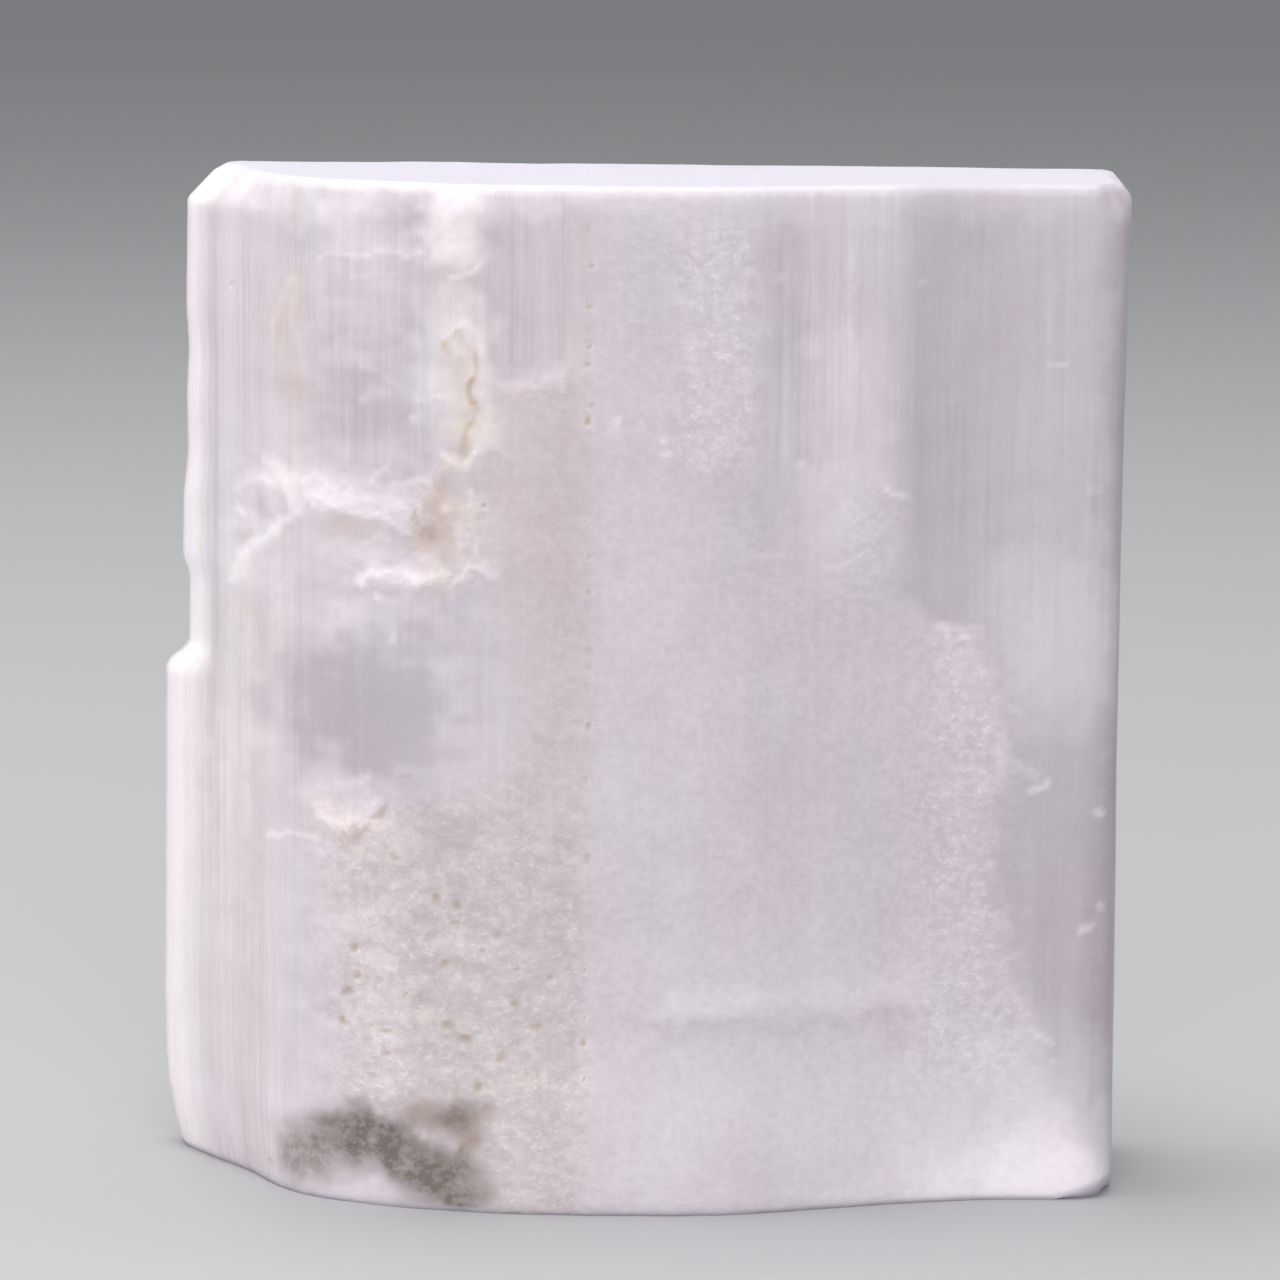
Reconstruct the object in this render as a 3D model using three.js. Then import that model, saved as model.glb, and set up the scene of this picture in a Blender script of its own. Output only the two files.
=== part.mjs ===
// Satin-spar selenite: a short block of upright fibres, sawn flat at both ends.
// Millimetres, +Z up along the fibres. The bulging broken face looks along -Y, +X is its right.
import * as THREE from 'three';

// Overall size
const HEIGHT = 52;
const CENTRE = { x: -0.02, y: -0.18 };

// Plan of the block, counter-clockwise from the rear left corner. The front bulges in the middle.
const PLAN = [
  [-24.1, 9.5], [-24.95, 7.8], [-24.65, 5.6], [-23.1, 3.0], [-20.7, -0.3], [-19.1, -3.3],
  [-16.7, -6.2], [-12.0, -8.6], [-6.2, -9.9], [0.5, -10.0], [5.0, -9.6], [9.8, -7.8],
  [13.8, -6.4], [17.8, -5.3], [24.0, -5.1], [24.7, -4.3], [24.75, -1.0], [24.95, 6.0],
  [24.9, 9.5], [12.0, 9.8], [1.0, 9.3], [-11.0, 9.7],
];
const PLAN_ROUNDING = 1.2;

// Grid: fine over the front, coarser round the sides and the back
const FRONT_LENGTH = 66;
const FRONT_COLUMNS = 58;
const OTHER_COLUMNS = 30;
const ROWS = 47;
const RIM = 0.35;
const CUT_INSET = 0.4;

// Worn edges. The foot rises off the floor towards its front right corner.
const TOP_RIM_WEAR = 0.3;
const FOOT_RIM_WEAR = 0.12;
const LEFT_CHAMFER = { start: 50.2, slope: 0.95 };
const RIGHT_CHAMFER = { start: 51.3, slope: 0.9 };
const RIGHT_TAPER = 0.2;
const TOP_CHIP = { x: 24.4, y: -4.4, radius: 1.9, reach: 1.6, slope: 0.5 };
const FOOT_LIFT = { left: 21.6, slope: 0.32, back: -1.5, front: -4.0, reach: 1.8 };

// Left side: a slab stands out below a broken shelf at a height of 26.3, and a swelling sits above
// it. Each pair is a height and how far the side lies in from the plan there.
const LEFT_PROFILE = [
  [25.9, 0], [26.7, 1.2], [30.7, 1.2], [31.3, 0.87], [34.8, 0.87], [36.8, 1.1], [40, 1.03],
  [42.5, 1.12], [44.5, 0.97],
];
const LEFT_FOOT = [[0, 1.05], [0.75, 0.83], [1.8, 0.55], [3.4, 0.25], [5, 0.12], [8, 0]];

// Broken edges on the front, each a height over x, and side edges, each an x over height
const UPPER_LEDGE = [
  [-21.6, 31.0], [-20.9, 35.4], [-19.5, 37.0], [-16.7, 36.4], [-11.6, 35.5], [-10.4, 37.4],
  [-9.0, 38.6],
];
const LOWER_LEDGE = [[-15.0, 31.9], [-13.6, 32.4], [-10.1, 32.1], [-8.4, 32.7], [-7.0, 31.6]];
const RIND_LEDGE = [
  [-20.0, 17.6], [-16.2, 18.7], [-14.9, 19.5], [-13.5, 20.9], [-12.2, 22.2], [-6.2, 22.4],
  [-5.2, 26.0],
];
const TAIL_LEDGE = [[-8.0, 41.4], [-6.8, 42.0], [-4.6, 42.4], [-3.4, 43.4]];
const WINDOW_RIGHT = [[30, -8.2], [38, -9.2], [44, -10.3], [47.5, -10.9], [52, -11.3]];
const RIND_LEFT = [
  [0, -7.5], [5.5, -14.6], [17, -15.8], [20, -13.5], [22.4, -6.2], [26, -5.2], [29.3, -5.8],
  [33.2, -8.0], [38, -8.0], [42, -6.6], [42.6, -4.0], [47, -3.4], [52, -2.9],
];
const CLEAR_LEFT = [
  [0, 24.0], [4.2, 22.6], [6.0, 21.2], [8.1, 21.4], [10.2, 20.2], [12.7, 18.9], [18.4, 17.8],
  [21.5, 18.8], [24.0, 18.2], [26.6, 17.7], [29.6, 17.2], [29.9, 14.8], [31.4, 13.2],
  [36.6, 12.9], [37.2, 12.0], [42.3, 11.3], [46.4, 10.3], [52, 9.6],
];

// Scars of lost layers: the skin is missing above the foot and between the two sides. The foot
// slopes over its own half width, the sides over theirs. Ragged is how far the edges wander.
const SCARS = [
  {
    depth: 0.32, ragged: 0.4, foot: UPPER_LEDGE, left: -19.0, right: WINDOW_RIGHT,
    footHalf: 0.6, sideHalf: 1.6,
  },
  {
    depth: 0.3, ragged: 0.4, foot: LOWER_LEDGE, left: -14.6, right: WINDOW_RIGHT,
    footHalf: 0.5, sideHalf: 1.8,
  },
  {
    depth: 0.12, ragged: 0.4, foot: RIND_LEDGE, left: -18.6, right: RIND_LEFT,
    footHalf: 1.4, sideHalf: 2.4,
  },
  {
    depth: 0.22, ragged: 0.4, foot: TAIL_LEDGE, left: -7.0, right: -3.6,
    footHalf: 0.5, sideHalf: 0.8,
  },
  {
    depth: 0.08, ragged: 1.0, foot: -9, left: CLEAR_LEFT, right: 40,
    footHalf: 0.5, sideHalf: 1.0,
  },
  {
    depth: 0.06, ragged: 0.6, foot: 31.6, left: 6.3, right: 10.2,
    footHalf: 0.8, sideHalf: 0.9,
  },
];

// Raised broken edges: half width and height, then their points [x, z]
const LIPS = [
  {
    half: 0.34, height: 0.1,
    points: [[-19.2, 37.5], [-18.6, 37.0], [-18.1, 36.3], [-17.7, 35.4]],
  },
  {
    half: 0.34, height: 0.14,
    points: [[-17.6, 35.2], [-18.5, 34.0], [-19.2, 33.2], [-20.0, 32.5], [-21.0, 31.0]],
  },
  {
    half: 0.2, height: 0.09,
    points: [[-16.6, 35.6], [-15.0, 35.5], [-13.2, 35.2], [-12.1, 34.8], [-11.7, 34.6]],
  },
  {
    half: 0.24, height: 0.12,
    points: [[-14.2, 31.8], [-13.7, 32.3], [-11.9, 32.6], [-11.2, 32.2], [-10.0, 32.5]],
  },
  {
    half: 0.2, height: 0.1,
    points: [[-9.7, 31.9], [-9.1, 32.2], [-8.7, 32.7], [-7.8, 32.9]],
  },
  {
    half: 0.24, height: 0.12,
    points: [[-10.0, 38.6], [-9.5, 38.3], [-9.0, 38.1], [-8.2, 38.8]],
  },
  { half: 0.3, height: 0.1, points: [[-16.3, 19.9], [-15.2, 19.7], [-14.5, 19.5]] },
];

// The rind ends upward-curled over a smoother foot on the right half of the front
const FOLD = { z: 10.0, left: 1.0, right: 15.4, depth: 0.12, curl: 0.08 };

// Lumps stand out and hollows sink in: centre, half sizes and height in mm
const LUMPS = [
  { x: -9.2, z: 49.6, rx: 1.9, rz: 2.6, height: 0.25 },
  { x: -18.1, z: 43.8, rx: 0.9, rz: 3.2, height: 0.14 },
  { x: -15.4, z: 19.4, rx: 1.3, rz: 0.9, height: 0.14 },
  { x: 17.6, z: 25.6, rx: 1.2, rz: 2.0, height: 0.12 },
  { x: 20.6, z: 8.6, rx: 1.2, rz: 1.6, height: 0.12 },
  { x: -8.7, z: 41.0, rx: 1.3, rz: 3.8, height: -0.18 },
  { x: -19.4, z: 34.9, rx: 1.3, rz: 1.1, height: -0.12 },
  { x: -10.8, z: 34.4, rx: 1.3, rz: 1.7, height: -0.28 },
  { x: -15.0, z: 34.2, rx: 2.2, rz: 1.1, height: -0.12 },
  { x: -13.1, z: 20.4, rx: 0.7, rz: 0.9, height: -0.25 },
  { x: -13.2, z: 2.9, rx: 5.0, rz: 2.4, height: -0.3 },
  { x: -8.6, z: 4.2, rx: 1.0, rz: 1.3, height: -0.2 },
];

// Fibres: flutes that run the height, coarser and deeper on the back
const FLUTE = { pitch: 1.9, length: 34, front: 0.05, back: 0.2 };
const SPLINTER = { width: 4.6, waver: 0.3, depth: 0.9, edge: 0.16 };
const SWELL = { across: 11, along: 26, height: 0.12 };
const GRAIN = { size: 1.4, height: 0.04 };

const clamp = (v) => Math.min(1, Math.max(0, v));

// 0 at from to 1 at to, smoothly
function ramp(from, to, v) {
  const t = clamp((v - from) / (to - from));
  return t * t * (3 - 2 * t);
}

function hash(i, j, seed) {
  const v = Math.sin(i * 127.1 + j * 311.7 + seed * 74.7) * 43758.5453;
  return 2 * (v - Math.floor(v)) - 1;
}

// Smooth value noise between -1 and 1
function noise(u, v, seed) {
  const i = Math.floor(u);
  const j = Math.floor(v);
  const a = ramp(0, 1, u - i);
  const b = ramp(0, 1, v - j);
  const low = hash(i, j, seed) * (1 - a) + hash(i + 1, j, seed) * a;
  const high = hash(i, j + 1, seed) * (1 - a) + hash(i + 1, j + 1, seed) * a;
  return low * (1 - b) + high * b;
}

// Straight-line reading of [at, value] pairs, or the plain number itself
function read(table, at) {
  if (typeof table === 'number') return table;
  const next = table.findIndex((pair) => pair[0] > at);
  if (next === 0) return table[0][1];
  if (next < 0) return table[table.length - 1][1];
  const [from, low] = table[next - 1];
  const [to, high] = table[next];
  return low + ((at - from) / (to - from)) * (high - low);
}

// The plan as a closed path with the distance to each corner
const corners = PLAN.concat([PLAN[0]]).map(([x, y]) => new THREE.Vector2(x, y));
const reach = [0];
for (let i = 1; i < corners.length; i += 1) {
  reach.push(reach[i - 1] + corners[i].distanceTo(corners[i - 1]));
}
const PERIMETER = reach[reach.length - 1];

function sharpPlan(distance) {
  const s = ((distance % PERIMETER) + PERIMETER) % PERIMETER;
  const next = reach.findIndex((d) => d > s);
  const t = (s - reach[next - 1]) / (reach[next] - reach[next - 1]);
  return corners[next - 1].clone().lerp(corners[next], t);
}

// The plan with its corners rounded by averaging along the path
function roundPlan(distance) {
  const sum = new THREE.Vector2();
  for (const offset of [-1, -0.5, 0, 0.5, 1]) sum.add(sharpPlan(distance + offset * PLAN_ROUNDING));
  return sum.multiplyScalar(1 / 5);
}

function outward(distance) {
  const along = roundPlan(distance + 0.8).sub(roundPlan(distance - 0.8)).normalize();
  return new THREE.Vector2(along.y, -along.x);
}

function scars(x, z) {
  let sunk = 0;
  SCARS.forEach((scar, index) => {
    const shake = scar.ragged * noise(x / 1.1, z / 1.1, index + 3);
    const waver = 0.5 * shake;
    const above = ramp(-scar.footHalf, scar.footHalf, z + shake - read(scar.foot, x));
    const fromLeft = ramp(-scar.sideHalf, scar.sideHalf, x + waver - read(scar.left, z));
    const fromRight = ramp(-scar.sideHalf, scar.sideHalf, read(scar.right, z) - x - waver);
    sunk += scar.depth * above * fromLeft * fromRight;
  });
  return -sunk;
}

function lineDistance(x, z, points) {
  let nearest = Infinity;
  for (let i = 1; i < points.length; i += 1) {
    const [fromX, fromZ] = points[i - 1];
    const runX = points[i][0] - fromX;
    const runZ = points[i][1] - fromZ;
    const t = clamp(((x - fromX) * runX + (z - fromZ) * runZ) / (runX ** 2 + runZ ** 2));
    nearest = Math.min(nearest, Math.hypot(x - fromX - t * runX, z - fromZ - t * runZ));
  }
  return nearest;
}

function lips(x, z) {
  let raised = 0;
  for (const lip of LIPS) {
    raised += lip.height * ramp(1.7, 0, lineDistance(x, z, lip.points) / lip.half);
  }
  return raised;
}

function lumps(x, z) {
  let total = 0;
  for (const lump of LUMPS) {
    const away = Math.hypot((x - lump.x) / lump.rx, (z - lump.z) / lump.rz);
    total += lump.height * ramp(1.25, 0.35, away);
  }
  return total;
}

function fold(x, z) {
  const within = ramp(FOLD.left - 0.8, FOLD.left + 0.8, x) * ramp(FOLD.right + 2, FOLD.right - 2, x);
  const above = z - FOLD.z + 0.15 * noise(x / 1.7, 0, 52);
  const curl = FOLD.curl * ramp(2.2, 0.2, above) * ramp(-0.3, 0.1, above);
  const sunk = FOLD.depth * ramp(0.2, -0.4, above) * ramp(-7, -2, above);
  return within * (curl - sunk);
}

function frontRelief(x, z) {
  const grain = GRAIN.height * noise(x / GRAIN.size, z / GRAIN.size, 31);
  return scars(x, z) + lips(x, z) + lumps(x, z) + fold(x, z) + grain;
}

// One splinter's level: each breaks off at its own height and carries on at another level
function splinterLevel(i, z) {
  const end = HEIGHT * (0.5 + 0.42 * hash(i, 0, 43));
  const above = ramp(-0.6, 0.6, z - end);
  return hash(i, 1, 44) * (1 - above) + hash(i, 2, 44) * above;
}

// Long splinters side by side on the back, mm inward
function splinters(distance, z) {
  const u = distance / SPLINTER.width + SPLINTER.waver * noise(distance / 3, z / 17, 42);
  const i = Math.floor(u);
  const next = ramp(1 - SPLINTER.edge, 1, u - i);
  const level = splinterLevel(i, z) * (1 - next) + splinterLevel(i + 1, z) * next;
  return -SPLINTER.depth * (0.5 - 0.5 * level);
}

// How far a point of the left or the right side is moved towards +X, mm
function sideways(x, z) {
  let profile = 0;
  for (const offset of [-0.3, 0, 0.3]) profile += read(LEFT_PROFILE, z + offset) / 3;
  const corner = LEFT_CHAMFER.slope * Math.max(0, z - LEFT_CHAMFER.start) + read(LEFT_FOOT, z);
  const left = profile * ramp(-21.4, -24.3, x) + corner * ramp(-16.5, -24.0, x);
  const right = RIGHT_TAPER * (1 - z / HEIGHT) * ramp(20, 24, x);
  return left - right;
}

// How far the front right corner of the foot rises off the floor, mm
function footLift(x, y, z) {
  const corner = ramp(FOOT_LIFT.back, FOOT_LIFT.front, y) * ramp(FOOT_LIFT.reach, 0, z);
  return FOOT_LIFT.slope * Math.max(0, x - FOOT_LIFT.left) * corner;
}

// How far the worn and chipped edges cut in at one place, mm
function edgeWear(x, y, z) {
  const topRim = TOP_RIM_WEAR * clamp((z - HEIGHT + RIM) / RIM);
  const footRim = FOOT_RIM_WEAR * clamp((RIM - z) / RIM);
  const right = RIGHT_CHAMFER.slope * Math.max(0, z - RIGHT_CHAMFER.start) * ramp(23.6, 24.8, x);
  const near = ramp(1, 0.3, Math.hypot(x - TOP_CHIP.x, y - TOP_CHIP.y) / TOP_CHIP.radius);
  const chip = TOP_CHIP.slope * Math.max(0, z - HEIGHT + TOP_CHIP.reach) * near;
  return Math.max(topRim, footRim, right, chip);
}

// One point of the side surface, or inset from it, at a distance round the plan and a height
function sidePoint(distance, z, inset = 0) {
  const base = roundPlan(distance);
  const normal = outward(distance);
  const front = ramp(0.05, 0.4, -normal.y);
  const flute = noise(distance / FLUTE.pitch, z / FLUTE.length, 21);
  const swell = noise(distance / SWELL.across, z / SWELL.along, 22);
  let push = SWELL.height * swell;
  push += flute * (FLUTE.front * front + FLUTE.back * (1 - front));
  push += front * frontRelief(base.x, z);
  push += ramp(0.3, 0.9, normal.y) * splinters(distance, z);
  push -= edgeWear(base.x, base.y, z) + inset;
  const x = base.x + normal.x * push + sideways(base.x, z) - CENTRE.x;
  const y = base.y + normal.y * push - CENTRE.y;
  return [x, y, z + footLift(base.x, base.y, z)];
}

function distances() {
  const list = [];
  for (let i = 0; i < FRONT_COLUMNS; i += 1) list.push((FRONT_LENGTH * i) / FRONT_COLUMNS);
  const rest = PERIMETER - FRONT_LENGTH;
  for (let i = 0; i < OTHER_COLUMNS; i += 1) list.push(FRONT_LENGTH + (rest * i) / OTHER_COLUMNS);
  return list;
}

function heights() {
  const list = [0];
  for (let i = 0; i <= ROWS; i += 1) list.push(RIM + ((HEIGHT - 2 * RIM) * i) / ROWS);
  list.push(HEIGHT);
  return list;
}

// Rings of points up the sides, between the flat edges of the foot and of the top
function rings() {
  const columns = distances();
  const sides = heights().map((z) => columns.map((distance) => sidePoint(distance, z)));
  const top = columns.map((distance) => sidePoint(distance, HEIGHT, CUT_INSET));
  const inFoot = columns.map((distance) => sidePoint(distance, 0, CUT_INSET));
  const foot = inFoot.map(([x, y]) => [x, y, 0]);
  return [foot, ...sides, top];
}

// Triangles that fill one flat ring of points, facing up. First is its first point's number.
function cutFace(ring, first) {
  const outline = ring.map(([x, y]) => new THREE.Vector2(x, y));
  const triangles = THREE.ShapeUtils.triangulateShape(outline, []);
  return triangles.map((triangle) => triangle.map((i) => first + i));
}

function crystalGeometry() {
  const layers = rings();
  const wrap = layers[0].length;
  const faces = [];
  for (let r = 0; r + 1 < layers.length; r += 1) {
    for (let c = 0; c < wrap; c += 1) {
      const a = r * wrap + c;
      const b = r * wrap + ((c + 1) % wrap);
      faces.push(a, b, b + wrap, a, b + wrap, a + wrap);
    }
  }
  const last = layers.length - 1;
  for (const [a, b, c] of cutFace(layers[0], 0)) faces.push(a, c, b);
  for (const [a, b, c] of cutFace(layers[last], last * wrap)) faces.push(a, b, c);
  const geometry = new THREE.BufferGeometry();
  geometry.setAttribute('position', new THREE.Float32BufferAttribute(layers.flat(2), 3));
  geometry.setIndex(faces);
  geometry.computeVertexNormals();
  return geometry;
}

const selenite = new THREE.MeshStandardMaterial({ color: 0xe9e4e6, roughness: 0.45, metalness: 0 });
const crystal = new THREE.Mesh(crystalGeometry(), selenite);
crystal.name = 'crystal_blade';

const group = new THREE.Group();
group.name = 'selenite_crystal_blade';
group.add(crystal);

export default group;
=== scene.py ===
"""Satin-spar selenite: a short block of upright fibres with a flaked, stained front, on a pale floor.

The geometry works in millimetres, like the CAD part, and is written to the mesh in metres.
"""
import math

import bpy
import numpy as np
from mathutils import Matrix, Vector


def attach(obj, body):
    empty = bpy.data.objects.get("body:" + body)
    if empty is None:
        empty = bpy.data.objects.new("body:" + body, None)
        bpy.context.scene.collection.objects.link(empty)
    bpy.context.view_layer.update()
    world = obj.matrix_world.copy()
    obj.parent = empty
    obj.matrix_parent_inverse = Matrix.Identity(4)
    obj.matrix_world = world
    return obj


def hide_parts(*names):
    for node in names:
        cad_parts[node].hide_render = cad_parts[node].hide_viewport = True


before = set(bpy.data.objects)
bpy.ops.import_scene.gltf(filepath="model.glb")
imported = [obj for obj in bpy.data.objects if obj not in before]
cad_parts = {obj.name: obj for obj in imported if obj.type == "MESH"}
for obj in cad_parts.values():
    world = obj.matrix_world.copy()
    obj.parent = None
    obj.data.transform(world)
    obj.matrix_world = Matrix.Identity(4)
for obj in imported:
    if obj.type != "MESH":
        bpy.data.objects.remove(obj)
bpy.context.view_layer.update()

MM = 0.001

# Overall size
HEIGHT = 52
CENTRE = (-0.02, -0.18)

# Plan of the block, counter-clockwise from the rear left corner. The front bulges in the middle.
PLAN = [
    (-24.1, 9.5), (-24.95, 7.8), (-24.65, 5.6), (-23.1, 3.0), (-20.7, -0.3), (-19.1, -3.3),
    (-16.7, -6.2), (-12.0, -8.6), (-6.2, -9.9), (0.5, -10.0), (5.0, -9.6), (9.8, -7.8),
    (13.8, -6.4), (17.8, -5.3), (24.0, -5.1), (24.7, -4.3), (24.75, -1.0), (24.95, 6.0),
    (24.9, 9.5), (12.0, 9.8), (1.0, 9.3), (-11.0, 9.7),
]
PLAN_ROUNDING = 1.2

# Grid: steps round the plan from each distance on, finest where the front is broken up
COLUMN_STEPS = [(0, 0.32), (11, 0.155), (33.5, 0.28), (66, 0.9)]
ROW_STEP = 0.222
RIM = 0.35
CUT_INSET = 0.4
CUT_FACE = {"sawn": 1.0, "flaky": 0.4, "milk_and_light": 0.5}

# Worn edges. The foot rises off the floor towards its front right corner.
TOP_RIM_WEAR = 0.3
FOOT_RIM_WEAR = 0.12
LEFT_CHAMFER = {"start": 50.2, "slope": 0.95}
RIGHT_CHAMFER = {"start": 51.3, "slope": 0.9}
RIGHT_TAPER = 0.2
TOP_CHIP = {"x": 24.4, "y": -4.4, "radius": 1.9, "reach": 1.6, "slope": 0.5}
FOOT_LIFT = {"left": 21.6, "slope": 0.32, "back": -1.5, "front": -4.0, "reach": 1.8}

# Left side: a slab stands out below a broken shelf at a height of 26.3, and a swelling sits above
# it. Each pair is a height and how far the side lies in from the plan there.
LEFT_PROFILE = [
    (25.9, 0), (26.7, 1.2), (30.7, 1.2), (31.3, 0.87), (34.8, 0.87), (36.8, 1.1), (40, 1.03),
    (42.5, 1.12), (44.5, 0.97),
]
LEFT_FOOT = [(0, 1.05), (0.75, 0.83), (1.8, 0.55), (3.4, 0.25), (5, 0.12), (8, 0)]

# Broken edges on the front, each a height over x, and side edges, each an x over height
UPPER_LEDGE = [
    (-21.6, 31.0), (-20.9, 35.4), (-19.5, 37.0), (-16.7, 36.4), (-11.6, 35.5), (-10.4, 37.4),
    (-9.0, 38.6),
]
LOWER_LEDGE = [(-15.0, 31.9), (-13.6, 32.4), (-10.1, 32.1), (-8.4, 32.7), (-7.0, 31.6)]
RIND_LEDGE = [
    (-20.0, 17.6), (-16.2, 18.7), (-14.9, 19.5), (-13.5, 20.9), (-12.2, 22.2), (-6.2, 22.4),
    (-5.2, 26.0),
]
TAIL_LEDGE = [(-8.0, 41.4), (-6.8, 42.0), (-4.6, 42.4), (-3.4, 43.4)]
WINDOW_RIGHT = [(30, -8.2), (38, -9.2), (44, -10.3), (47.5, -10.9), (52, -11.3)]
RIND_LEFT = [
    (0, -7.5), (5.5, -14.6), (17, -15.8), (20, -13.5), (22.4, -6.2), (26, -5.2), (29.3, -5.8),
    (33.2, -8.0), (38, -8.0), (42, -6.6), (42.6, -4.0), (47, -3.4), (52, -2.9),
]
CLEAR_LEFT = [
    (0, 24.0), (4.2, 22.6), (6.0, 21.2), (8.1, 21.4), (10.2, 20.2), (12.7, 18.9), (18.4, 17.8),
    (21.5, 18.8), (24.0, 18.2), (26.6, 17.7), (29.6, 17.2), (29.9, 14.8), (31.4, 13.2),
    (36.6, 12.9), (37.2, 12.0), (42.3, 11.3), (46.4, 10.3), (52, 9.6),
]

# Scars of lost layers: the skin is missing above the foot and between the two sides. The foot
# slopes over its own half width, the sides over theirs. Ragged is how far the edges wander.
SCARS = [
    {"depth": 0.32, "foot": UPPER_LEDGE, "left": -19.0, "right": WINDOW_RIGHT,
     "half": (0.6, 1.6), "ragged": 0.4},
    {"depth": 0.3, "foot": LOWER_LEDGE, "left": -14.6, "right": WINDOW_RIGHT,
     "half": (0.5, 1.8), "ragged": 0.4},
    {"depth": 0.12, "foot": RIND_LEDGE, "left": -18.6, "right": RIND_LEFT,
     "half": (1.4, 2.4), "ragged": 0.4},
    {"depth": 0.22, "foot": TAIL_LEDGE, "left": -7.0, "right": -3.6,
     "half": (0.5, 0.8), "ragged": 0.4},
    {"depth": 0.08, "foot": -9, "left": CLEAR_LEFT, "right": 40,
     "half": (0.5, 1.0), "ragged": 1.0},
    {"depth": 0.06, "foot": 31.6, "left": 6.3, "right": 10.2,
     "half": (0.8, 0.9), "ragged": 0.6},
]
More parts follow.
